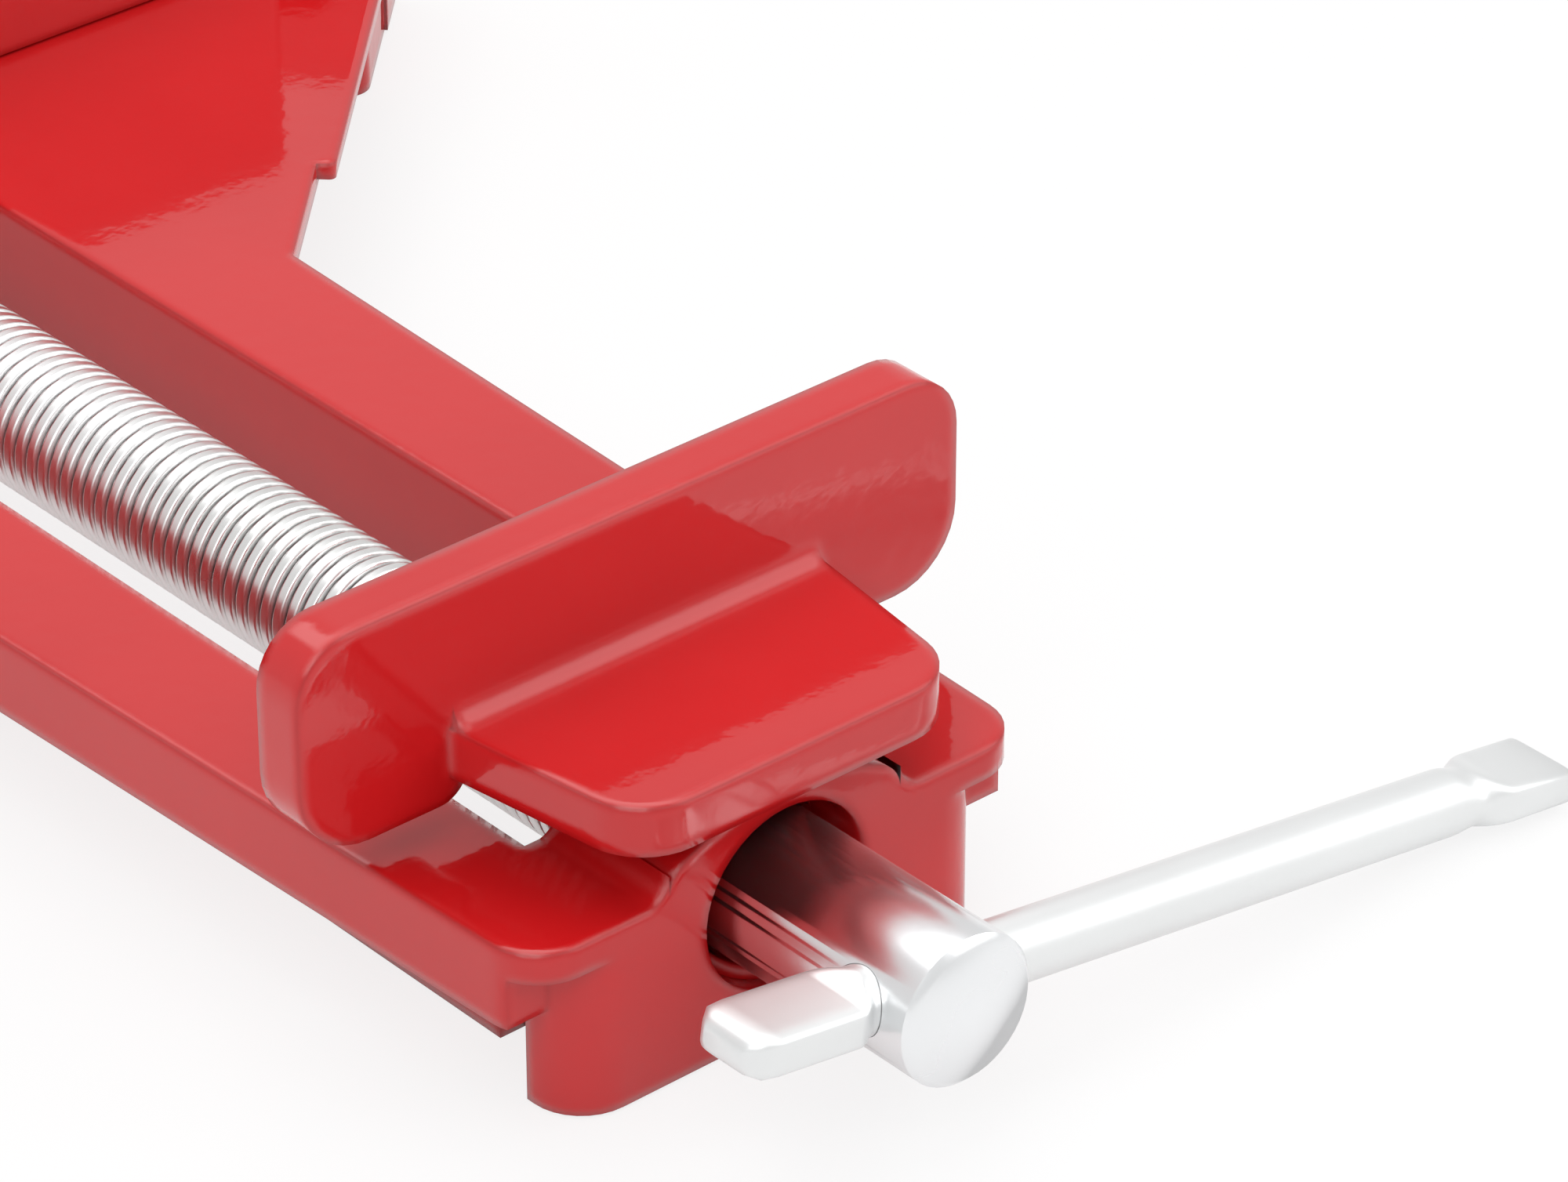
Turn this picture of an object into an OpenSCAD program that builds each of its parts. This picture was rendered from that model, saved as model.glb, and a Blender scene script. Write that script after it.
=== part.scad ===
// Corner clamp: two fences at a right angle, a screw-driven triangular jaw and a swivelling nut block
// whose upright plate is the second jaw of a straight vice.
// +X runs along the spindle towards the handle, +Z is up, and the bench is at Z = 0.
// The origin is the corner where the two fence faces meet, on the bench.

/* [Frame] */
// Length from the fence corner to the face of the end block
frame_l = 291; // [285:1:320]
// Height of the spindle axis above the bench
axis_h = 15; // [14.8:0.1:17]
// Height of the deck above the spindle axis
deck_rise = 5.6; // [4:0.1:6.4]
// Depth of the rails
rail_t = 9; // [6:0.5:11]
// Thickness of the wings
wing_t = 3; // [2.6:0.1:4]
// Width of the slot between the rails
slot_w = 37.2; // [36.6:0.2:40]
// Width of each rail where the wing starts
rail_far_w = 17.3; // [14:0.1:22]
// Width of each rail at the handle end
rail_near_w = 12.6; // [11:0.1:13.5]
// Thickness of the walls beside the slot
slot_wall_t = 3.5; // [2.5:0.1:5]
// Distance from the end block's face back to the wings
wing_start = 122.5; // [115:0.5:130]
// Distance along a wing's edge to its lip
lip_at = 21; // [14:0.5:30]
// How far the lip stands out
lip_over = 2.1; // [1:0.1:4]
// Thickness of the lip
lip_t = 2; // [1:0.1:4]

/* [Fence] */
// Height of the fences above the deck
fence_h = 28; // [22:0.5:34]
// Thickness of the fences
fence_t = 9; // [7:0.5:12]
// Distance from a wing's edge in to its fence's end
fence_in = 1; // [0.4:0.1:1]
// Radius of the relief in the fence corner
relief_r = 4; // [2:0.5:4.5]
// Half width of the flat behind the fence corner
apex_half_w = 4; // [2:0.5:4]
// Radius of the foot under the fence corner
corner_foot_r = 7.5; // [5:0.5:8]
// Distance along a wing's edge to its foot
foot_start = 76; // [60:1:80]
// Width of a wing's foot
foot_w = 12; // [8:0.5:16]
// Distance from a wing's edge in to its foot
foot_in = 1.4; // [1.4:0.1:3]

/* [Mounting ears] */
// Place of an ear along its fence, measured in X
ear_x = 45; // [35:1:60]
// Distance from the fence to the slot's centre
ear_out = 13; // [11:0.5:18]
// Outer radius of an ear
ear_r = 12; // [10:0.5:14]
// Thickness of an ear
ear_t = 8; // [5:0.5:10]
// Half width of the bolt slot
ear_slot_r = 4.5; // [3:0.25:5.5]
// End-to-end length of the bolt slot
ear_slot_l = 16; // [12:0.5:18]

/* [End block] */
// Length of the boss that holds the swivel post
block_l = 16.4; // [15.5:0.1:18]
// Thickness of the end wall
end_wall_t = 7; // [6.5:0.25:10]
// Width of the end wall below its rim
end_wall_w = 53; // [48:0.5:56]
// Length of the rim over the end wall's sides
rim_l = 4; // [2:0.5:6]
// Depth of the rim
rim_h = 3.4; // [2.5:0.1:5]
// Radius of the end wall's upright corners
corner_r = 6; // [4:0.5:6]
// Height of the arched boss above the spindle axis
arch_rise = 12.6; // [12.2:0.1:12.8]
// Radius of the arched boss's crown
arch_r = 26; // [22:0.5:32]
// Half width of the arched boss
arch_half = 14.5; // [13.8:0.1:15]
// Radius of the fillets at the arched boss's feet
arch_fillet = 3; // [1.5:0.1:3.4]
// Radius of the clearance bore for the shank
bore_r = 10; // [9.4:0.1:10.8]
// Thickness of the floor below the swivel post
pocket_floor = 3; // [2:0.25:4]

/* [Nut block] */
// Distance from the end block's face back to the swivel axis
pivot_back = 12.5; // [12.3:0.1:13]
// Radius of the swivel post
post_r = 10.5; // [10:0.1:10.8]
// Width of the upright plate
plate_w = 82; // [70:1:90]
// Thickness of the upright plate
plate_t = 6; // [4.5:0.25:8]
// Distance from the end block's face back to the plate
plate_back = 21.5; // [20:0.25:24]
// Height of the plate's top above the spindle axis
plate_top = 33.5; // [28:0.5:38]
// Height of the plate's lower lobes above the spindle axis
lobe_z = 10.1; // [9:0.1:12]
// Radius of the plate's corners
plate_r = 6.5; // [4:0.5:8]
// Radius of the plate's lower lobes
lobe_r = 8; // [5:0.5:10]
// Width of the tongue at the plate
tongue_w = 47; // [42:0.5:52]
// Width of the tongue at its front
tongue_front_w = 40; // [36:0.5:44]
// Radius of the tongue's front corners
tongue_r = 7; // [4:0.5:9]
// Thickness of the tongue
tongue_t = 5.4; // [4.5:0.1:7]
// Reach of the tongue past the end wall
tongue_over = 2.6; // [0:0.1:4]
// Radius of the fillet between the tongue and the plate
tongue_fillet_r = 2.5; // [1:0.25:4]
// Radius of the counterbore that takes the plain shank
counterbore_r = 8.6; // [8.4:0.1:9.2]
// Depth of the counterbore
counterbore_l = 8; // [6:0.5:10]

/* [Spindle] */
// Diameter over the thread
thread_d = 16; // [15:0.1:16.6]
// Reach of the shank past the end block's face
shank_out = 26; // [24:0.5:40]
// Distance from the shank's end to the cross hole
hole_back = 7.2; // [6:0.1:9]
// Diameter of the tip journal
tip_d = 12; // [10:0.1:12.4]
// Diameter of the tip's groove
groove_d = 8.8; // [7:0.1:9]
// Chamfer at the spindle's ends
spindle_chamfer = 0.8; // [0.4:0.1:1.2]

/* [Tommy bar] */
// Diameter of the bar
bar_d = 7; // [5:0.1:7.4]
// Reach of the bar on its long side
bar_long = 86; // [60:1:86]
// Reach of the bar on its short side
bar_short = 24.5; // [20:0.5:30]
// Length of the flattened end on the long side
flat_long_l = 12; // [8:0.5:16]
// Width of the flattened ends
flat_w = 9.4; // [8:0.1:11]
// Thickness of the flattened ends
flat_t = 4.4; // [3.4:0.1:4.4]
// Tilt of the bar about the spindle, long side down
bar_tilt = 8.5; // [0:0.5:8.5]

/* [Moving jaw] */
// Distance from the fence corner to the jaw's nose
jaw_gap = 26; // [24:0.5:30]
// Length of the jaw from its nose to its rear face
jaw_l = 84; // [78:1:88]
// Half width of the jaw's rear wall
jaw_half_w = 80; // [70:1:80]
// Height of the jaw
jaw_h = 27.7; // [24:0.1:34]
// Thickness of the jaw's walls
jaw_wall = 6.5; // [5:0.25:8]
// Thickness of the jaw's floor
jaw_floor = 8; // [6:0.25:9]
// Distance from the jaw's rear face to its pivot
shoe_back = 21; // [20:0.5:26]
// Radius of the boss around the jaw's pivot
jaw_boss_r = 15.5; // [14.5:0.5:18]
// Height of that boss above the jaw's underside
jaw_boss_h = 19.7; // [16:0.1:21]
// Thickness of the jaw's ribs
jaw_rib_t = 5; // [3.5:0.25:7]
// Radius of the blunt nose
nose_r = 3; // [1:0.5:5]

/* [Swivel shoe] */
// Radius of the shoe's hub, which holds the spindle's tip
hub_r = 11; // [10:0.1:11.2]
// Radius of the shoe's stem
stem_r = 8; // [6:0.1:9]
// Diameter of the tip pins
pin_d = 3.5; // [2.5:0.1:3.8]
// Distance from the shoe's axis back to the tip pins
pin_shift = 2; // [1:0.1:3]
// Thickness of the hub below the tip's bore
hub_wall = 3.4; // [2.5:0.1:4]
// Depth of the pins above the tip's bore
pin_rise = 1.5; // [1:0.1:2]
// Thickness of the thrust disc
disc_t = 2; // [1.5:0.1:2.6]

/* [Jaw screw] */
// Diameter of the screw's thread
screw_d = 6; // [5:0.5:8]
// Length of the screw's thread in the shoe
screw_l = 9; // [7:0.5:10]
// Diameter of the screw's head
screw_head_d = 10.5; // [9:0.5:13]
// Height of the screw's head
screw_head_h = 3.3; // [2.5:0.1:4.5]
// Width across the corners of the screw's socket
socket_d = 4.6; // [3:0.1:5.4]
// Depth of the screw's socket
socket_h = 2; // [1.2:0.1:2.2]
// Diameter of the washer
washer_d = 22; // [19:0.5:28]
// Thickness of the washer
washer_t = 1.6; // [1:0.1:2]

/* [Fits] */
// Radial clearance of a running fit
run_gap = 0.05; // [0.02:0.01:0.1]
// Gap below pieces that slide on the deck
slide_gap = 0.3; // [0.1:0.05:0.5]
// Gap where one piece stops against another
stop_gap = 0.4; // [0.2:0.1:0.6]
// Clearance around the spindle below the jaw
spindle_room = 1.5; // [1.2:0.1:2]
// Travel of the jaw towards the fences
close_travel = 8; // [2:0.5:8]

/* [Hidden] */
$fn = 64;
paint = [0.80, 0.11, 0.11];
chrome = [0.86, 0.87, 0.88];
steel = [0.62, 0.63, 0.65];
over = 1;
// How far the slot's round end is drawn in past the closed hub
slot_lead = 2;
// How far the arched boss's fillets run into the deck
fillet_sink = 0.1;
// How far the round bar runs into its flattened ends
flat_lap = 3;
root2 = sqrt(2);
end_x = frame_l;
deck_z = axis_h + deck_rise;
slot_half = slot_w / 2;
near_half = slot_half + rail_near_w;
far_half = slot_half + rail_far_w;
wing_x = end_x - wing_start;
block_x = end_x - block_l;
pivot_x = end_x - pivot_back;
// Along a wing's edge: where the fence's inner face and its outer face cross it
fence_at = (wing_x - far_half) / root2;
fence_end = fence_at + fence_t;
ear_skew = fence_t * root2;
ear_pos = [ear_x - ear_out / root2, ear_x + ear_skew + ear_out / root2];
ear_web = 0.9 * ear_r;
plate_x = end_x - plate_back;
shank_x = end_x + shank_out;
hole_x = shank_x - hole_back;
rear_x = jaw_gap + jaw_l;
shoe_x = rear_x - shoe_back;
slot_far_x = shoe_x - close_travel + slot_lead;
jaw_z = deck_z + slide_gap;
hub_top = jaw_z + jaw_floor / 4 * 3;
boss_top = jaw_z + jaw_boss_h;
stem_top = boss_top + slide_gap;
pin_x = shoe_x + pin_shift;
pin_y = groove_d / 2 + pin_d / 2 + run_gap;
groove_w = pin_d + 4 * run_gap;
tip_x = shoe_x - hub_r / 2 + disc_t;
tip_shoulder = shoe_x + hub_r + stop_gap;
hub_bottom = axis_h - tip_d / 2 - hub_wall;
pin_top = axis_h + tip_d / 2 + pin_rise;
post_bottom = pocket_floor + slide_gap;
tongue_z = arch_rise + slide_gap;
tongue_x = end_x + tongue_over;

function unit(v) = v / norm(v);

// Points of a round corner at p, between its neighbours a and b
function corner_arc(p, a, b, r, n) =
    let (u = unit(a - p), w = unit(b - p), half = acos(u * w) / 2)
    let (c = p + unit(u + w) * r / sin(half), s = p + u * r / tan(half), e = p + w * r / tan(half))
    let (a0 = atan2(s[1] - c[1], s[0] - c[0]), a1 = atan2(e[1] - c[1], e[0] - c[0]))
    let (turn = (a1 - a0 + 540) % 360 - 180)
    [for (i = [0:n]) c + r * [cos(a0 + turn * i / n), sin(a0 + turn * i / n)]];

// A closed outline whose corners are rounded by the radii in rs, 0 for a sharp one
function rounded(pts, rs, n = 8) =
    let (last = len(pts) - 1)
    [for (i = [0:last]) each rs[i] > 0
        ? corner_arc(pts[i], pts[i == 0 ? last : i - 1], pts[i == last ? 0 : i + 1], rs[i], n)
        : [pts[i]]];

function mirrored(pts) = [for (i = [len(pts) - 1:-1:0]) [pts[i][0], -pts[i][1]]];

function reversed(list) = [for (i = [len(list) - 1:-1:0]) list[i]];

// A point on the wing's edge, t along it and out beyond it
function wing_point(t, out = 0) = [wing_x + (out - t) / root2, far_half + (out + t) / root2];

module both_sides() {
    children();
    mirror([0, 1, 0]) children();
}

module along_x(r, x0, x1, z = axis_h) {
    translate([x0, 0, z]) rotate([0, 90, 0]) cylinder(r = r, h = x1 - x0);
}

module deck_plan() {
    half = [[end_x, near_half], [wing_x, far_half], wing_point(fence_end - over),
            [apex_half_w - ear_skew + over * root2, apex_half_w]];
    radii = [corner_r, 1, 0, 1.5];
    polygon(rounded(concat(half, mirrored(half)), concat(radii, reversed(radii))));
}

// The thin lip along a wing's edge, level with the deck
module wing_lip_plan() {
    far = fence_at + over;
    polygon(rounded([wing_point(lip_at, -over), wing_point(lip_at, lip_over), wing_point(far, lip_over),
                     wing_point(far, -over)], [0, 0.8, 0, 0]));
}

module slot_plan(grow = 0) {
    translate([slot_far_x, -slot_half - grow]) square([block_x - slot_far_x, slot_w + 2 * grow]);
    translate([slot_far_x, 0]) circle(r = slot_half + grow);
}

module fence_plan() {
    half = [wing_point(fence_at, -fence_in), wing_point(fence_end, -fence_in),
            [apex_half_w - ear_skew, apex_half_w]];
    polygon(concat([[0, 0]], half, mirrored(half)));
}

module wing_foot_plan() {
    inner = -foot_in - foot_w;
    polygon(rounded([wing_point(foot_start, -foot_in), wing_point(fence_end - over, -foot_in),
                     wing_point(fence_end - over, inner), wing_point(foot_start, inner)], [3, 0, 0, 3]));
}

module ear_plan() {
    translate(ear_pos) circle(r = ear_r);
    translate([ear_x, ear_x + ear_skew]) rotate(45) translate([-ear_web, -over])
        square([2 * ear_web, ear_out + over]);
}

module ear_slot_plan() {
    reach = ear_slot_l / 2 - ear_slot_r;
    for (side = [-1, 1]) translate(ear_pos + [0, side * reach]) circle(r = ear_slot_r);
    translate(ear_pos - [ear_slot_r, reach]) square([2 * ear_slot_r, 2 * reach]);
}

module end_wall_plan() {
    half = [[end_x, end_wall_w / 2], [end_x - end_wall_t, end_wall_w / 2]];
    polygon(rounded(concat(half, mirrored(half)), [corner_r, 0, 0, corner_r]));
}

// Cross section of the arched boss, from the bench up, about the spindle axis
module arch_section() {
    foot = arch_half + 1.5 * arch_fillet;
    shoulder = acos(arch_half / arch_r);
    crown_z = arch_rise - arch_r;
    foot_z = deck_rise - fillet_sink;
    half = [[foot, -axis_h], [foot, foot_z], [arch_half, foot_z],
            [arch_half, crown_z + arch_r * sin(shoulder)]];
    rs = [0, 0, arch_fillet, 4];
    other = [for (p = reversed(half)) [-p[0], p[1]]];
    arc = [for (i = [1:11]) let (a = shoulder + (180 - 2 * shoulder) * i / 12)
        [arch_r * cos(a), crown_z + arch_r * sin(a)]];
    polygon(rounded(concat(half, arc, other), concat(rs, [for (p = arc) 0], reversed(rs))));
}

// The end wall and the boss with the round pocket that the nut block's post turns in
module end_block() {
    linear_extrude(deck_z - over) end_wall_plan();
    translate([block_x, 0, axis_h]) rotate([90, 0, 90]) linear_extrude(block_l) arch_section();
    translate([pivot_x, 0, 0]) cylinder(r = post_r + run_gap + pocket_floor, h = pocket_floor);
}

// Rails and wings with the slot between them, cut back below the rim to make room for the end wall
module deck() {
    difference() {
        union() {
            translate([0, 0, deck_z - wing_t]) linear_extrude(wing_t) deck_plan();
            translate([0, 0, deck_z - rail_t]) linear_extrude(rail_t) intersection() {
                deck_plan();
                translate([wing_x, -far_half]) square([wing_start, 2 * far_half]);
            }
            linear_extrude(deck_z) intersection() {
                slot_plan(slot_wall_t);
                deck_plan();
            }
        }
        translate([0, 0, -over]) linear_extrude(deck_z + 2 * over) slot_plan();
        translate([end_x - rim_l, -near_half - over, -over])
            cube([rim_l + over, 2 * near_half + 2 * over, deck_z - rim_h + over]);
    }
}

module base_casting() color(paint) difference() {
    union() {
        deck();
        end_block();
        linear_extrude(deck_z + fence_h) fence_plan();
        both_sides() translate([0, 0, deck_z - lip_t]) linear_extrude(lip_t) wing_lip_plan();
        both_sides() linear_extrude(deck_z - over) wing_foot_plan();
        both_sides() linear_extrude(ear_t) ear_plan();
        cylinder(r = corner_foot_r, h = deck_z - over);
    }
    translate([1, 0, deck_z]) cylinder(r = relief_r, h = fence_h + over);
    both_sides() translate([0, 0, -over]) linear_extrude(ear_t + 2 * over) ear_slot_plan();
    translate([pivot_x, 0, pocket_floor]) cylinder(r = post_r + run_gap, h = deck_z + arch_rise);
    along_x(bore_r, pivot_x, end_x + over);
    along_x(thread_d / 2 + spindle_room, block_x - 2 * post_r, pivot_x);
}

module plate_outline() {
    half = [[plate_w / 2, plate_top], [plate_w / 2, lobe_z], [tongue_w / 2 - 1, lobe_z]];
    notch = [[tongue_w / 2 - 2.5, tongue_z], [2.5 - tongue_w / 2, tongue_z]];
    radii = [plate_r, lobe_r, 3.5];
    pts = concat(half, notch, [for (p = reversed(half)) [-p[0], p[1]]]);
    polygon(rounded(pts, concat(radii, [1, 1], reversed(radii))));
}

module tongue_plan() {
    half = [[tongue_x, tongue_front_w / 2], [plate_x - over, tongue_w / 2]];
    polygon(rounded(concat(half, mirrored(half)), [tongue_r, 0, 0, tongue_r]));
}

// The concave fillet where the tongue meets the plate's front
module tongue_fillet() {
    arc = [for (a = [0:15:90]) tongue_fillet_r * [1 - sin(a), 1 - cos(a)]];
    width = tongue_w - 1.5;
    translate([plate_x, width / 2, axis_h + tongue_z + tongue_t]) rotate([90, 0, 0]) linear_extrude(width)
        polygon(concat([[-over, tongue_fillet_r], [-over, -over], [tongue_fillet_r, -over]], arc));
}

module nut_block() color(paint) difference() {
    union() {
        translate([plate_x, 0, axis_h]) rotate([90, 0, -90]) linear_extrude(plate_t) plate_outline();
        translate([0, 0, axis_h + tongue_z]) linear_extrude(tongue_t) tongue_plan();
        tongue_fillet();
        translate([pivot_x, 0, post_bottom])
            cylinder(r = post_r, h = axis_h + tongue_z + over - post_bottom);
    }
    along_x(thread_d / 2 + run_gap, pivot_x - 2 * post_r, tongue_x + over);
    along_x(counterbore_r, pivot_x + post_r - counterbore_l, tongue_x + over);
}

module spindle() color(chrome) difference() {
    union() {
        along_x(tip_d / 2, tip_x, tip_shoulder + over);
        along_x(thread_d / 2, tip_shoulder + spindle_chamfer, shank_x - spindle_chamfer);
        translate([shank_x - spindle_chamfer, 0, axis_h]) rotate([0, 90, 0])
            cylinder(r1 = thread_d / 2, r2 = thread_d / 2 - spindle_chamfer, h = spindle_chamfer);
        translate([tip_shoulder, 0, axis_h]) rotate([0, 90, 0])
            cylinder(r1 = thread_d / 2 - spindle_chamfer, r2 = thread_d / 2, h = spindle_chamfer);
    }
    difference() {
        along_x(tip_d, pin_x - groove_w / 2, pin_x + groove_w / 2);
        along_x(groove_d / 2, pin_x - groove_w, pin_x + groove_w);
    }
    bar_frame() translate([0, 0, -thread_d]) cylinder(r = bar_d / 2 + run_gap, h = 2 * thread_d);
}

// Turns +Z into the bar's own direction, towards its long side
module bar_frame() {
    translate([hole_x, 0, axis_h]) rotate([-90 - bar_tilt, 0, 0]) children();
}

module bar_flat(l) {
    tip = flat_t / 2;
    pts = [[-flat_w / 2, 0], [flat_w / 2, 0], [flat_w / 2, l], [-flat_w / 2, l]];
    translate([0, flat_t / 2, 0]) rotate([90, 0, 0]) linear_extrude(flat_t)
        polygon(rounded(pts, [0.8, 0.8, tip, tip]));
}

module tommy_bar() color(chrome) bar_frame() {
    flat_at = thread_d / 2 + stop_gap;
    long_at = bar_long - flat_long_l;
    translate([0, 0, -flat_at - flat_lap]) cylinder(d = bar_d, h = flat_at + long_at + 2 * flat_lap);
    translate([0, 0, long_at]) bar_flat(flat_long_l);
    mirror([0, 0, 1]) translate([0, 0, flat_at]) bar_flat(bar_short - flat_at);
}

module jaw_plan() {
    half = [[rear_x, jaw_half_w], [jaw_gap + jaw_half_w, jaw_half_w]];
    polygon(rounded(concat(half, [[jaw_gap, 0]], mirrored(half)), [2, 2, nose_r, 2, 2]));
}

module jaw_pocket_plan() {
    nose_x = jaw_gap + jaw_wall * root2;
    wall_x = rear_x - jaw_wall;
    polygon(rounded([[wall_x, wall_x - nose_x], [nose_x, 0], [wall_x, nose_x - wall_x]], [3, 4, 3]));
}

module jaw_ribs_plan() {
    translate([jaw_gap + jaw_wall, -jaw_rib_t / 2]) square([shoe_x - jaw_gap - jaw_wall, jaw_rib_t]);
    both_sides() translate([shoe_x, 0]) rotate(135) translate([0, -jaw_rib_t / 2])
        square([(shoe_x - jaw_gap) / root2 - jaw_wall / 2, jaw_rib_t]);
    reach = shoe_x - jaw_gap - jaw_wall;
    translate([shoe_x - jaw_rib_t / 2, -reach]) square([jaw_rib_t, 2 * reach]);
}

module moving_jaw() color(paint) translate([0, 0, jaw_z]) difference() {
    linear_extrude(jaw_h) jaw_plan();
    difference() {
        translate([0, 0, jaw_floor]) linear_extrude(jaw_h) jaw_pocket_plan();
        linear_extrude(jaw_boss_h - over) jaw_ribs_plan();
        translate([shoe_x, 0, 0]) cylinder(r = jaw_boss_r, h = jaw_boss_h);
    }
    translate([shoe_x, 0, -over]) cylinder(r = stem_r + run_gap, h = jaw_boss_h + 2 * over);
    translate([shoe_x, 0, -over]) cylinder(r = hub_r + run_gap, h = hub_top - jaw_z + run_gap + over);
    along_x(thread_d / 2 + spindle_room, shoe_x, rear_x + over, axis_h - jaw_z);
}

module swivel_shoe() color(steel) difference() {
    union() {
        translate([shoe_x, 0, hub_bottom]) cylinder(r = hub_r, h = hub_top - hub_bottom);
        translate([shoe_x, 0, hub_bottom]) cylinder(r = stem_r, h = stem_top - hub_bottom);
    }
    along_x(tip_d / 2 + run_gap, tip_x - disc_t, shoe_x + hub_r + over);
    for (side = [-1, 1]) translate([pin_x, side * pin_y, hub_bottom - over])
        cylinder(d = pin_d, h = pin_top - hub_bottom + 2 * over);
    translate([shoe_x, 0, stem_top - screw_l - over]) cylinder(d = screw_d, h = screw_l + 2 * over);
}

module thrust_disc() color(steel) along_x(tip_d / 2, tip_x - disc_t, tip_x - run_gap);

module tip_pins() color(steel) for (side = [-1, 1])
    translate([pin_x, side * pin_y, hub_bottom + over / 2]) cylinder(d = pin_d, h = pin_top - hub_bottom);

module jaw_washer() color(steel) translate([shoe_x, 0, stem_top]) difference() {
    cylinder(d = washer_d, h = washer_t);
    translate([0, 0, -over]) cylinder(d = screw_d + 0.6, h = washer_t + 2 * over);
}

module jaw_screw() color(steel) translate([shoe_x, 0, stem_top]) difference() {
    union() {
        translate([0, 0, -screw_l]) cylinder(d = screw_d, h = screw_l + washer_t + over);
        translate([0, 0, washer_t]) cylinder(d = screw_head_d, h = screw_head_h);
    }
    translate([0, 0, washer_t + screw_head_h - socket_h])
        cylinder(d = socket_d, h = socket_h + over, $fn = 6);
}

base_casting();
nut_block();
spindle();
tommy_bar();
moving_jaw();
swivel_shoe();
thrust_disc();
tip_pins();
jaw_washer();
jaw_screw();
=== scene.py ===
"""Corner clamp in red enamel: softened castings, a cut thread on the spindle and a forged tommy bar."""
import math

import bmesh
import bpy
from mathutils import Matrix, Vector


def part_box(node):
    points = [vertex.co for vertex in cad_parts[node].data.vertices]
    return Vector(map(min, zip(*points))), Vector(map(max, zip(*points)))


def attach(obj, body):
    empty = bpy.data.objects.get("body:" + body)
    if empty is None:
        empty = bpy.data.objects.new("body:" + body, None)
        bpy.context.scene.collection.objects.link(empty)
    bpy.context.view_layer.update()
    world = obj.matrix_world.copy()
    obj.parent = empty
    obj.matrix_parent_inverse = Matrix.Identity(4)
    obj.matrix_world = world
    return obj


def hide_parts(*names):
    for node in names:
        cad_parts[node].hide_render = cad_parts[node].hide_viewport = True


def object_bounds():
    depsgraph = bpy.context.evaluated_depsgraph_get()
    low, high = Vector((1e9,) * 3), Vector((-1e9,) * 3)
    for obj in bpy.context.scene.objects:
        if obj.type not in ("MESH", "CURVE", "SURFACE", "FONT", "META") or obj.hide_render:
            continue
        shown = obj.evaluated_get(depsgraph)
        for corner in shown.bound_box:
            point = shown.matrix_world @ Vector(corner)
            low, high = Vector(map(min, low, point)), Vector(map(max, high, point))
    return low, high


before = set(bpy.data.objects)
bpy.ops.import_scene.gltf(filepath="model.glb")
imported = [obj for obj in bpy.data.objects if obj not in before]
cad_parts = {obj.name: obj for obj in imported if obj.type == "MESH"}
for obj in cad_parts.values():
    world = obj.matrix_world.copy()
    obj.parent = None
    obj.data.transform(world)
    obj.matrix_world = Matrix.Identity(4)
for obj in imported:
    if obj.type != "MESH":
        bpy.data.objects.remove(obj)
cad_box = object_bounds()

MM = 0.001

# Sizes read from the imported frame
spindle_low, spindle_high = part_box("spindle")
AXIS_Z = 0.5 * (spindle_low[2] + spindle_high[2])
SPINDLE_R = 0.5 * (spindle_high[1] - spindle_low[1])

# Thread, in metres
THREAD_PITCH = 2 * MM
THREAD_DEPTH = 1.15 * MM
THREAD_RUNOUT = 3 * MM
TIP_PLAIN, SHANK_PLAIN = 16.5 * MM, 30 * MM
THREAD_START = spindle_low[0] + TIP_PLAIN
THREAD_END = spindle_high[0] - SHANK_PLAIN
ROWS_A_TURN = 14
THREAD_SIDES = 64
# Where the flank begins and ends, as shares of half a pitch from the crest's middle to the root's
FLANK = 0.56, 0.92
# The painted shade in the thread's grooves: its dark colour, and the shares of the depth at which it is full and
# gone
ROOT_SHADE_COLOUR = (0.13, 0.12, 0.12, 1)
ROOT_FULL, ROOT_GONE = 0.7, 0.3

# Soft edges of the castings: a small bevel, and the paint's own round in the shading
CASTING_EDGE = {"base_casting": 0.7 * MM, "nut_block": 1.7 * MM, "moving_jaw": 1.2 * MM}
EDGE_STEPS = 4
EDGE_ANGLE = math.radians(32)
PAINT_ROUND = 1.9 * MM

# Clean-up of the CAD meshes: points nearer than this are one, and faces that bend less than this are one
MERGE_DISTANCE = 0.002 * MM
FLAT_ANGLE = math.radians(0.6)

# Finishes: the noise levels over which roughness and colour drift, and the strength of the peel
ROUGHNESS_DRIFT = 0.3, 0.7
COLOUR_DRIFT = 0.35, 0.65
PEEL_STRENGTH = 0.25

# Forged tommy bar, in metres: distances run along it from the spindle's axis, the long side positive
BAR_R = 3.5 * MM
BAR_LONG_END, BAR_SHORT_END = 86 * MM, -24.5 * MM
BAR_TILT = math.radians(8.5)
FLAT_HALF_W, FLAT_HALF_T = 4.7 * MM, 2.2 * MM
FLAT_LONG_L = 12 * MM
NECK_SHORT = -8.4 * MM
HOLE_FROM_END = 7.2 * MM
BAR_SIDES = 64

# Shares of plain white in the floor as the camera sees it and as the paint and the metal mirror it
FLOOR_WHITE, FLOOR_MIRRORED = 0.82, 0.5
FLOOR_SIZE, FLOOR_DROP = 6, 0.4 * MM
FLOOR_GREY = 0.86
WORLD_FILL, WORLD_WHITE = 0.45, 1.0

# Soft square lamps: name, place, side and power
LAMPS = (("key", (0.75, -0.75, 0.95), 0.9, 7.4),
         ("fill", (0.9, 0.7, 0.7), 1.0, 5),
         ("top", (-0.1, 0.1, 1.2), 1.2, 8.6))
LAMP_TARGET = (0.26, 0.0, 0.02)

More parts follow.
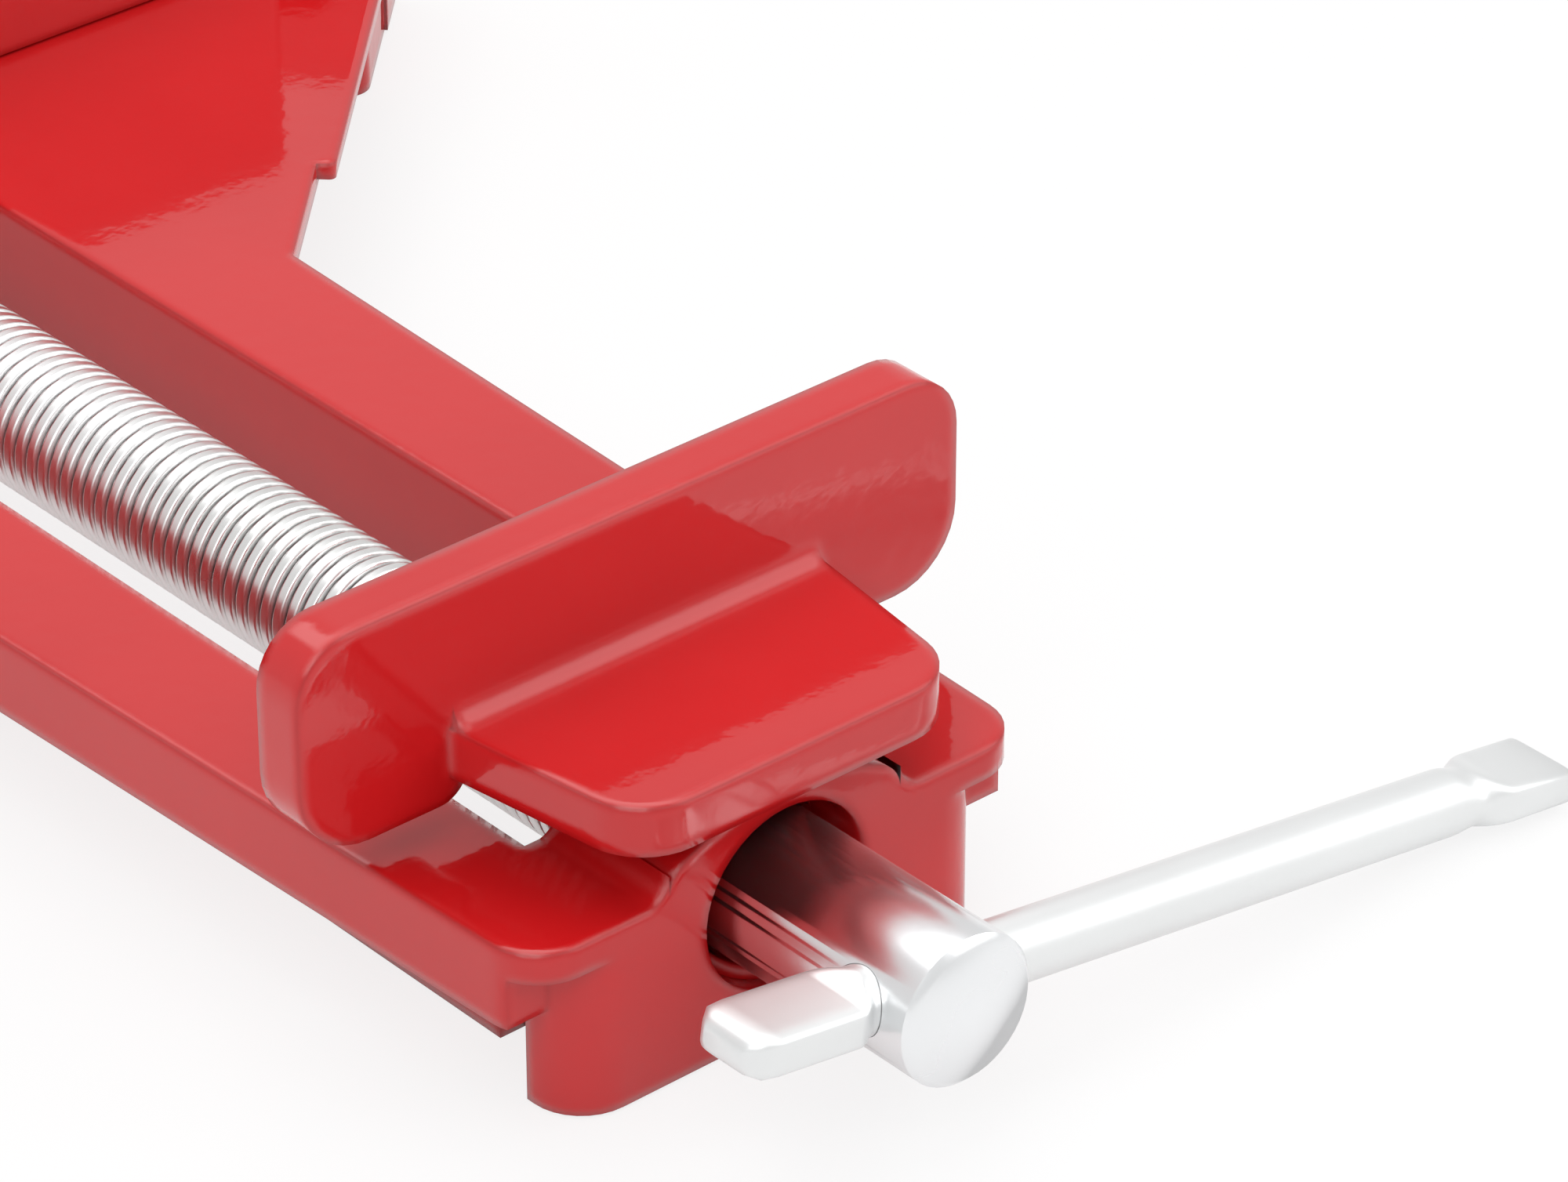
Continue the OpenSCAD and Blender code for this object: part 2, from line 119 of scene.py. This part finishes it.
# The photograph's size in pixels, and its camera
IMAGE_W, IMAGE_H = 2000, 1508
FOCAL_PX = 9111
CAMERA_AZIMUTH, CAMERA_ELEVATION = 48.86, 31.58
CAMERA_PLACE = Vector((715.1, -370.8, 395.3)) * MM


def node_group(name, kind, inputs, outputs):
    """A new node group with named sockets; inputs and outputs are (name, socket type, default) rows."""
    group = bpy.data.node_groups.new(name, kind)
    for direction, rows in (("INPUT", inputs), ("OUTPUT", outputs)):
        for label, socket, default in rows:
            made = group.interface.new_socket(label, in_out=direction, socket_type=socket)
            if default is not None:
                made.default_value = default
    return group


def add(tree, kind, **settings):
    """A node of that kind with its settings."""
    node = tree.nodes.new(kind)
    for key, value in settings.items():
        setattr(node, key, value)
    return node


def math_node(tree, operation, first, second=None, clamp=False):
    """A math node fed by sockets or plain numbers; gives its output socket."""
    node = add(tree, "ShaderNodeMath", operation=operation, use_clamp=clamp)
    for slot, value in zip(node.inputs, (first, second)):
        if value is None:
            continue
        if isinstance(value, (int, float)):
            slot.default_value = value
        else:
            tree.links.new(value, slot)
    return node.outputs[0]


# Materials

def surface_variation_group():
    """Slow colour drift, fine orange peel and a roughness mask that painted and plated metal share."""
    group = node_group(
        "surface_variation", "ShaderNodeTree",
        [("Drift Scale", "NodeSocketFloat", 18.0), ("Peel Scale", "NodeSocketFloat", 900.0),
         ("Roughness Low", "NodeSocketFloat", 0.2), ("Roughness High", "NodeSocketFloat", 0.3)],
        [("Drift", "NodeSocketFloat", None), ("Peel", "NodeSocketFloat", None),
         ("Roughness", "NodeSocketFloat", None)])
    entry = add(group, "NodeGroupInput")
    leave = add(group, "NodeGroupOutput")
    where = add(group, "ShaderNodeTexCoord")
    drift = add(group, "ShaderNodeTexNoise")
    drift.inputs["Detail"].default_value = 4
    peel = add(group, "ShaderNodeTexNoise")
    peel.inputs["Detail"].default_value = 2
    links = group.links
    for noise, scale in ((drift, "Drift Scale"), (peel, "Peel Scale")):
        links.new(where.outputs["Object"], noise.inputs["Vector"])
        links.new(entry.outputs[scale], noise.inputs["Scale"])
    spread = add(group, "ShaderNodeMapRange")
    links.new(drift.outputs[0], spread.inputs["Value"])
    spread.inputs["From Min"].default_value, spread.inputs["From Max"].default_value = ROUGHNESS_DRIFT
    links.new(entry.outputs["Roughness Low"], spread.inputs["To Min"])
    links.new(entry.outputs["Roughness High"], spread.inputs["To Max"])
    links.new(drift.outputs[0], leave.inputs["Drift"])
    links.new(peel.outputs[0], leave.inputs["Peel"])
    links.new(spread.outputs[0], leave.inputs["Roughness"])
    return group


def finish_material(name, low, high, roughness, peel_scale, peel_height, edge_round=0, **plain):
    """A Principled material whose colour drifts from low to high and whose surface has a fine peel."""
    material = bpy.data.materials.new(name)
    material.use_nodes = True
    tree = material.node_tree
    shader = tree.nodes["Principled BSDF"]
    for socket, value in plain.items():
        shader.inputs[socket.replace("_", " ")].default_value = value
    variation = add(tree, "ShaderNodeGroup", node_tree=VARIATION)
    variation.inputs["Peel Scale"].default_value = peel_scale
    variation.inputs["Roughness Low"].default_value = roughness[0]
    variation.inputs["Roughness High"].default_value = roughness[1]
    ramp = add(tree, "ShaderNodeValToRGB")
    for element, position, colour in zip(ramp.color_ramp.elements, COLOUR_DRIFT, (low, high)):
        element.position = position
        element.color = (*colour, 1)
    bump = add(tree, "ShaderNodeBump")
    bump.inputs["Strength"].default_value = PEEL_STRENGTH
    bump.inputs["Distance"].default_value = peel_height
    if edge_round:
        rounding = add(tree, "ShaderNodeBevel", samples=8)
        rounding.inputs["Radius"].default_value = edge_round
        tree.links.new(rounding.outputs["Normal"], bump.inputs["Normal"])
    tree.links.new(variation.outputs["Drift"], ramp.inputs["Fac"])
    tree.links.new(ramp.outputs["Color"], shader.inputs["Base Color"])
    tree.links.new(variation.outputs["Roughness"], shader.inputs["Roughness"])
    tree.links.new(variation.outputs["Peel"], bump.inputs["Height"])
    for socket in ("Normal", "Coat Normal"):
        tree.links.new(bump.outputs["Normal"], shader.inputs[socket])
    return material


def paint_root_shade(material):
    """Painted shade in the thread's grooves: the colour falls off where the surface lies nearer the spindle's axis.
    """
    tree = material.node_tree
    shader = tree.nodes["Principled BSDF"]
    unshaded_colour = shader.inputs["Base Color"].links[0].from_socket
    where = add(tree, "ShaderNodeTexCoord")
    split = add(tree, "ShaderNodeSeparateXYZ")
    tree.links.new(where.outputs["Object"], split.inputs[0])
    height = math_node(tree, "SUBTRACT", split.outputs["Z"], AXIS_Z)
    squares = math_node(tree, "ADD", math_node(tree, "MULTIPLY", height, height),
                        math_node(tree, "MULTIPLY", split.outputs["Y"], split.outputs["Y"]))
    groove = add(tree, "ShaderNodeMapRange")
    tree.links.new(math_node(tree, "SQRT", squares), groove.inputs["Value"])
    groove.inputs["From Min"].default_value = SPINDLE_R - ROOT_FULL * THREAD_DEPTH
    groove.inputs["From Max"].default_value = SPINDLE_R - ROOT_GONE * THREAD_DEPTH
    # Mixes the painted groove shade over the thread's own colour
    mix = add(tree, "ShaderNodeMix", data_type="RGBA")
    mix.inputs["A"].default_value = ROOT_SHADE_COLOUR
    tree.links.new(groove.outputs[0], mix.inputs["Factor"])
    tree.links.new(unshaded_colour, mix.inputs["B"])
    tree.links.new(mix.outputs["Result"], shader.inputs["Base Color"])


VARIATION = surface_variation_group()
RED_ENAMEL = finish_material("red_enamel", (0.54, 0.010, 0.012), (0.60, 0.014, 0.016), (0.26, 0.34), 420, 0.00012,
                             edge_round=PAINT_ROUND, Specular_IOR_Level=0.0, Coat_Weight=1.0, Coat_Roughness=0.07,
                             Coat_IOR=1.56)
BRIGHT_CHROME = finish_material("bright_chrome", (0.82, 0.83, 0.84), (0.88, 0.89, 0.90), (0.23, 0.31), 260, 0.00006,
                                Metallic=1.0)
SATIN_CHROME = finish_material("satin_chrome", (0.78, 0.79, 0.79), (0.84, 0.85, 0.85), (0.34, 0.42), 260, 0.00006,
                               Metallic=0.75)
ZINC_THREAD = finish_material("zinc_thread", (0.76, 0.76, 0.75), (0.84, 0.84, 0.84), (0.24, 0.32), 500, 0.00003,
                              Metallic=1.0)
# Painted shade darkens the thread's grooves
paint_root_shade(ZINC_THREAD)
SATIN_STEEL = finish_material("satin_steel", (0.50, 0.51, 0.53), (0.58, 0.59, 0.61), (0.28, 0.38), 700, 0.0001,
                              Metallic=1.0)


# Meshes

def new_piece(name, mesh, material):
    """An object at the origin with one material."""
    mesh.materials.clear()
    mesh.materials.append(material)
    piece = bpy.data.objects.new(name, mesh)
    bpy.context.scene.collection.objects.link(piece)
    return piece


def merged_copy(node):
    """A bmesh of a CAD node with its loose triangles joined."""
    work = bmesh.new()
    work.from_mesh(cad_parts[node].data)
    bmesh.ops.remove_doubles(work, verts=work.verts, dist=MERGE_DISTANCE)
    return work


def evaluated_mesh(piece):
    """The piece's mesh with its modifiers applied; the modifiers are then removed."""
    graph = bpy.context.evaluated_depsgraph_get()
    mesh = bpy.data.meshes.new_from_object(piece.evaluated_get(graph))
    piece.modifiers.clear()
    return mesh


def shade_by_angle(mesh, degrees):
    """Smooth shading that keeps creases sharper than the angle."""
    mesh.shade_smooth()
    mesh.set_sharp_from_angle(angle=math.radians(degrees))


def softened_casting(node, body):
    """A casting with the rounded edges that the mould and the paint give it."""
    work = merged_copy(node)
    bmesh.ops.dissolve_limit(work, angle_limit=FLAT_ANGLE, verts=work.verts, edges=work.edges)
    mesh = bpy.data.meshes.new(node + "_soft")
    work.to_mesh(mesh)
    work.free()
    shade_by_angle(mesh, 35)
    piece = new_piece(node + "_soft", mesh, RED_ENAMEL)
    bevel = piece.modifiers.new("edges", "BEVEL")
    bevel.width = CASTING_EDGE[node]
    bevel.segments = EDGE_STEPS
    bevel.limit_method = "ANGLE"
    bevel.angle_limit = EDGE_ANGLE
    bevel.use_clamp_overlap = True
    flats = piece.modifiers.new("flats", "WEIGHTED_NORMAL")
    flats.mode = "FACE_AREA"
    flats.weight = 90
    flats.keep_sharp = True
    piece.data = evaluated_mesh(piece)
    piece.data.name = node + "_soft"
    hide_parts(node)
    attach(piece, body)


def thread_tree():
    """Geometry nodes: a grid rolled round X whose radius rises and falls along a right-hand helix."""
    tree = node_group(
        "spindle_thread", "GeometryNodeTree",
        [("Geometry", "NodeSocketGeometry", None), ("Start", "NodeSocketFloat", THREAD_START),
         ("Length", "NodeSocketFloat", 0.1), ("Pitch", "NodeSocketFloat", THREAD_PITCH),
         ("Crest Radius", "NodeSocketFloat", SPINDLE_R), ("Depth", "NodeSocketFloat", THREAD_DEPTH),
         ("Runout", "NodeSocketFloat", THREAD_RUNOUT), ("Axis Height", "NodeSocketFloat", AXIS_Z),
         ("Rows", "NodeSocketInt", 100), ("Sides", "NodeSocketInt", THREAD_SIDES),
         ("Material", "NodeSocketMaterial", None)],
        [("Geometry", "NodeSocketGeometry", None)])
    entry = add(tree, "NodeGroupInput")
    leave = add(tree, "NodeGroupOutput")
    links = tree.links
    get = entry.outputs
    grid = add(tree, "GeometryNodeMeshGrid")
    grid.inputs["Size X"].default_value = 1
    grid.inputs["Size Y"].default_value = 1
    links.new(get["Rows"], grid.inputs["Vertices X"])
    links.new(get["Sides"], grid.inputs["Vertices Y"])
    place = add(tree, "GeometryNodeInputPosition")
    split = add(tree, "ShaderNodeSeparateXYZ")
    links.new(place.outputs[0], split.inputs[0])
    along = math_node(tree, "ADD", split.outputs["X"], 0.5)
    turn = math_node(tree, "ADD", split.outputs["Y"], 0.5)
    distance = math_node(tree, "MULTIPLY", along, get["Length"])
    phase = math_node(tree, "FRACT", math_node(
        tree, "ADD", math_node(tree, "SUBTRACT", math_node(tree, "DIVIDE", distance, get["Pitch"]), turn), 1.0))
    flank = math_node(tree, "MULTIPLY", math_node(tree, "ABSOLUTE", math_node(tree, "SUBTRACT", phase, 0.5)), 2.0)
    tooth = add(tree, "ShaderNodeMapRange", interpolation_type="SMOOTHSTEP")
    tooth.inputs["From Min"].default_value, tooth.inputs["From Max"].default_value = FLANK
    links.new(flank, tooth.inputs["Value"])
    left = math_node(tree, "SUBTRACT", get["Length"], distance)
    nearest = math_node(tree, "MINIMUM", distance, left)
    fade = math_node(tree, "DIVIDE", nearest, get["Runout"], clamp=True)
    depth = math_node(tree, "MULTIPLY", math_node(tree, "MULTIPLY", tooth.outputs[0], get["Depth"]), fade)
    radius = math_node(tree, "SUBTRACT", get["Crest Radius"], depth)
    angle = math_node(tree, "MULTIPLY", turn, 2 * math.pi)
    point = add(tree, "ShaderNodeCombineXYZ")
    links.new(math_node(tree, "ADD", distance, get["Start"]), point.inputs["X"])
    links.new(math_node(tree, "MULTIPLY", radius, math_node(tree, "COSINE", angle)), point.inputs["Y"])
    lifted = math_node(tree, "ADD", math_node(tree, "MULTIPLY", radius, math_node(tree, "SINE", angle)),
                       get["Axis Height"])
    links.new(lifted, point.inputs["Z"])
    bend = add(tree, "GeometryNodeSetPosition")
    links.new(grid.outputs["Mesh"], bend.inputs["Geometry"])
    links.new(point.outputs[0], bend.inputs["Position"])
    weld = add(tree, "GeometryNodeMergeByDistance")
    weld.inputs["Distance"].default_value = 0.001 * MM
    links.new(bend.outputs[0], weld.inputs["Geometry"])
    realize = add(tree, "GeometryNodeRealizeInstances")
    links.new(weld.outputs[0], realize.inputs["Geometry"])
    paint = add(tree, "GeometryNodeSetMaterial")
    links.new(realize.outputs[0], paint.inputs["Geometry"])
    links.new(get["Material"], paint.inputs["Material"])
    links.new(paint.outputs[0], leave.inputs["Geometry"])
    return tree


def set_inputs(modifier, **values):
    """Sets a geometry nodes modifier's inputs by their names."""
    for item in modifier.node_group.interface.items_tree:
        if item.item_type == "SOCKET" and item.in_out == "INPUT":
            key = item.name.replace(" ", "_")
            if key in values:
                modifier[item.identifier] = values[key]


def thread_mesh():
    """The threaded stretch of the spindle as a plain mesh."""
    holder = bpy.data.objects.new("thread_holder", bpy.data.meshes.new("thread_holder"))
    bpy.context.scene.collection.objects.link(holder)
    modifier = holder.modifiers.new("thread", "NODES")
    modifier.node_group = thread_tree()
    length = THREAD_END - THREAD_START
    rows = int(length / THREAD_PITCH * ROWS_A_TURN) + 1
    set_inputs(modifier, Start=THREAD_START, Length=length, Rows=rows, Sides=THREAD_SIDES + 1, Material=ZINC_THREAD)
    mesh = evaluated_mesh(holder)
    bpy.data.objects.remove(holder)
    return mesh


def spindle():
    """Thread between the plain tip and the plain shank with its cross hole, which keep the CAD shape."""
    work = bmesh.new()
    for keep_above, cut_x in ((True, THREAD_END), (False, THREAD_START)):
        part = merged_copy("spindle")
        cut = bmesh.ops.bisect_plane(part, geom=part.verts[:] + part.edges[:] + part.faces[:],
                                     plane_co=(cut_x, 0, 0), plane_no=(1, 0, 0),
                                     clear_inner=keep_above, clear_outer=not keep_above)
        rim = [e for e in cut["geom_cut"] if isinstance(e, bmesh.types.BMEdge)]
        bmesh.ops.holes_fill(part, edges=rim)
        bmesh.ops.dissolve_limit(part, angle_limit=FLAT_ANGLE, verts=part.verts, edges=part.edges)
        bmesh.ops.triangulate(part, faces=[f for f in part.faces if len(f.verts) > 4])
        plain = bpy.data.meshes.new("plain_end")
        part.to_mesh(plain)
        part.free()
        work.from_mesh(plain)
        bpy.data.meshes.remove(plain)
    plain_faces = len(work.faces)
    work.from_mesh(thread_mesh())
    bmesh.ops.recalc_face_normals(work, faces=work.faces[plain_faces:])
    mesh = bpy.data.meshes.new("spindle_cut")
    work.to_mesh(mesh)
    work.free()
    piece = new_piece("spindle_cut", mesh, BRIGHT_CHROME)
    mesh.materials.append(ZINC_THREAD)
    for face in mesh.polygons[plain_faces:]:
        face.material_index = 1
    shade_by_angle(mesh, 40)
    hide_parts("spindle")
    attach(piece, "screw")


def bar_stations():
    """Cross-sections along the bar: distance, half width, half thickness and squareness, 0 for round.

    It stays as narrow as the spindle's hole up to stop, where the spindle halts it.
    """
    flat = FLAT_HALF_W, FLAT_HALF_T
    flat_from = BAR_LONG_END - FLAT_LONG_L
    stop = flat_from - 0.4 * MM
    rows = [(BAR_SHORT_END, 0.55 * flat[0], 0.4 * flat[1], 0.7),
            (BAR_SHORT_END + 0.5 * MM, 0.75 * flat[0], 0.8 * flat[1], 0.8),
            (BAR_SHORT_END + 1.6 * MM, 0.94 * flat[0], flat[1], 0.9),
            (BAR_SHORT_END + 3.4 * MM, *flat, 0.9),
            (NECK_SHORT - 3.0 * MM, *flat, 0.9)]
    rows += blended(rows[-1], (NECK_SHORT, BAR_R, BAR_R, 0.0))
    rows.append((stop - 0.8 * BAR_R, BAR_R, BAR_R, 0.0))
    rows += blended(rows[-1], (stop, BAR_R, 0.86 * BAR_R, 0.0), 4)
    rows += blended(rows[-1], (flat_from + 0.3 * FLAT_LONG_L, 0.95 * flat[0], flat[1], 0.85))
    rows += [(BAR_LONG_END - 0.7 * MM, flat[0], 0.86 * flat[1], 0.9),
             (BAR_LONG_END - 0.2 * MM, 0.95 * flat[0], 0.72 * flat[1], 0.9),
             (BAR_LONG_END, 0.84 * flat[0], 0.45 * flat[1], 0.9)]
    return rows


def blended(first, last, steps=8):
    """Cross-sections that ease from one to another, the last one included."""
    rows = []
    for step in range(1, steps + 1):
        share = step / steps
        ease = share * share * (3 - 2 * share)
        rows.append((first[0] + share * (last[0] - first[0]),
                     *(a + ease * (b - a) for a, b in zip(first[1:], last[1:]))))
    return rows


def section_point(angle, half_w, half_t, squareness):
    """A point of a cross-section: an ellipse that turns into a rounded rectangle with squareness."""
    power = 2 / (2 + 5 * squareness)
    c, s = math.cos(angle), math.sin(angle)
    return math.copysign(abs(c) ** power, c) * half_w, math.copysign(abs(s) ** power, s) * half_t


def forged_bar():
    """The round bar with both ends forged flat, lofted through its cross-sections."""
    hole = Vector((spindle_high[0] - HOLE_FROM_END, 0, AXIS_Z))
    along = Vector((0, math.cos(BAR_TILT), -math.sin(BAR_TILT)))
    thick = Vector((0, math.sin(BAR_TILT), math.cos(BAR_TILT)))
    wide = Vector((1, 0, 0))
    work = bmesh.new()
    rings = []
    for distance, half_w, half_t, squareness in bar_stations():
        points = [section_point(2 * math.pi * k / BAR_SIDES, half_w, half_t, squareness) for k in range(BAR_SIDES)]
        rings.append([work.verts.new(hole + along * distance + wide * w + thick * t) for w, t in points])
    for ring, following in zip(rings, rings[1:]):
        for k in range(BAR_SIDES):
            after = (k + 1) % BAR_SIDES
            work.faces.new((ring[k], ring[after], following[after], following[k]))
    work.faces.new(rings[0])
    work.faces.new(rings[-1])
    bmesh.ops.recalc_face_normals(work, faces=work.faces)
    mesh = bpy.data.meshes.new("tommy_bar_forged")
    work.to_mesh(mesh)
    work.free()
    piece = new_piece("tommy_bar_forged", mesh, SATIN_CHROME)
    shade_by_angle(mesh, 50)
    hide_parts("tommy_bar")
    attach(piece, "handle")


def castings():
    """The three red castings, each on its body."""
    softened_casting("base_casting", "frame")
    softened_casting("nut_block", "nut")
    softened_casting("moving_jaw", "jaw")


def small_steel():
    """The pieces inside the jaw keep their CAD shape."""
    for node in ("swivel_shoe", "thrust_disc", "tip_pins", "jaw_washer", "jaw_screw"):
        dress(node, SATIN_STEEL)


def dress(node, material):
    """Gives a CAD node that keeps its shape its finish."""
    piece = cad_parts[node]
    piece.data.materials.clear()
    piece.data.materials.append(material)


# Studio

def studio_floor():
    """A pale floor that takes the shadow, looks white to the camera and pale in the paint and the metal."""
    bpy.ops.mesh.primitive_plane_add(size=FLOOR_SIZE, location=(0.15, 0, cad_box[0][2] - FLOOR_DROP))
    floor = bpy.context.object
    floor.name = "floor"
    material = bpy.data.materials.new("pale_floor")
    material.use_nodes = True
    tree = material.node_tree
    tree.nodes.clear()
    diffuse = add(tree, "ShaderNodeBsdfDiffuse")
    diffuse.inputs["Color"].default_value = (FLOOR_GREY, FLOOR_GREY, FLOOR_GREY, 1)
    glow = add(tree, "ShaderNodeEmission")
    glow.inputs["Strength"].default_value = 1.0
    path = add(tree, "ShaderNodeLightPath")
    mirrored = math_node(tree, "ADD", path.outputs["Is Glossy Ray"], path.outputs["Is Transmission Ray"])
    share = math_node(tree, "ADD", math_node(tree, "MULTIPLY", path.outputs["Is Camera Ray"], FLOOR_WHITE),
                      math_node(tree, "MULTIPLY", mirrored, FLOOR_MIRRORED), clamp=True)
    mix = add(tree, "ShaderNodeMixShader")
    out = add(tree, "ShaderNodeOutputMaterial")
    tree.links.new(share, mix.inputs[0])
    tree.links.new(diffuse.outputs[0], mix.inputs[1])
    tree.links.new(glow.outputs[0], mix.inputs[2])
    tree.links.new(mix.outputs[0], out.inputs["Surface"])
    floor.data.materials.append(material)


def seen_rays(tree):
    """One for rays from the camera, mirrors and glass."""
    path = add(tree, "ShaderNodeLightPath")
    both = math_node(tree, "ADD", path.outputs["Is Camera Ray"], path.outputs["Is Glossy Ray"])
    return math_node(tree, "ADD", both, path.outputs["Is Transmission Ray"], clamp=True)


def white_world():
    """White to the camera and in reflections, and a weaker fill light."""
    world = bpy.data.worlds.new("white_studio")
    bpy.context.scene.world = world
    world.use_nodes = True
    tree = world.node_tree
    tree.nodes.clear()
    fill = add(tree, "ShaderNodeBackground")
    fill.inputs["Strength"].default_value = WORLD_FILL
    white = add(tree, "ShaderNodeBackground")
    white.inputs["Strength"].default_value = WORLD_WHITE
    mix = add(tree, "ShaderNodeMixShader")
    out = add(tree, "ShaderNodeOutputWorld")
    tree.links.new(seen_rays(tree), mix.inputs[0])
    tree.links.new(fill.outputs[0], mix.inputs[1])
    tree.links.new(white.outputs[0], mix.inputs[2])
    tree.links.new(mix.outputs[0], out.inputs["Surface"])


def soft_lamp(name, place, size, power):
    """A square area lamp that faces the clamp."""
    lamp = bpy.data.lights.new(name, "AREA")
    lamp.shape = "SQUARE"
    lamp.size = size
    lamp.energy = power
    holder = bpy.data.objects.new(name, lamp)
    bpy.context.scene.collection.objects.link(holder)
    holder.location = place
    aim = Vector(LAMP_TARGET) - Vector(place)
    holder.rotation_euler = aim.to_track_quat("-Z", "Y").to_euler()


def camera():
    """The photograph's camera: level, with its focal length in pixels of the photograph."""
    a, e = math.radians(CAMERA_AZIMUTH), math.radians(CAMERA_ELEVATION)
    right = Vector((math.cos(a), math.sin(a), 0))
    back = -Vector((-math.sin(a) * math.cos(e), math.cos(a) * math.cos(e), -math.sin(e)))
    up = back.cross(right)
    data = bpy.data.cameras.new("photo_camera")
    data.sensor_fit = "HORIZONTAL"
    data.sensor_width = 36
    data.lens = FOCAL_PX / IMAGE_W * data.sensor_width
    data.clip_start = 0.01
    data.clip_end = 20
    holder = bpy.data.objects.new("photo_camera", data)
    holder.matrix_world = Matrix.Translation(CAMERA_PLACE) @ Matrix((right, up, back)).transposed().to_4x4()
    bpy.context.scene.collection.objects.link(holder)
    bpy.context.scene.camera = holder


castings()
spindle()
small_steel()
forged_bar()
studio_floor()
white_world()
for lamp in LAMPS:
    soft_lamp(*lamp)
camera()
bpy.context.scene.view_settings.view_transform = "Standard"
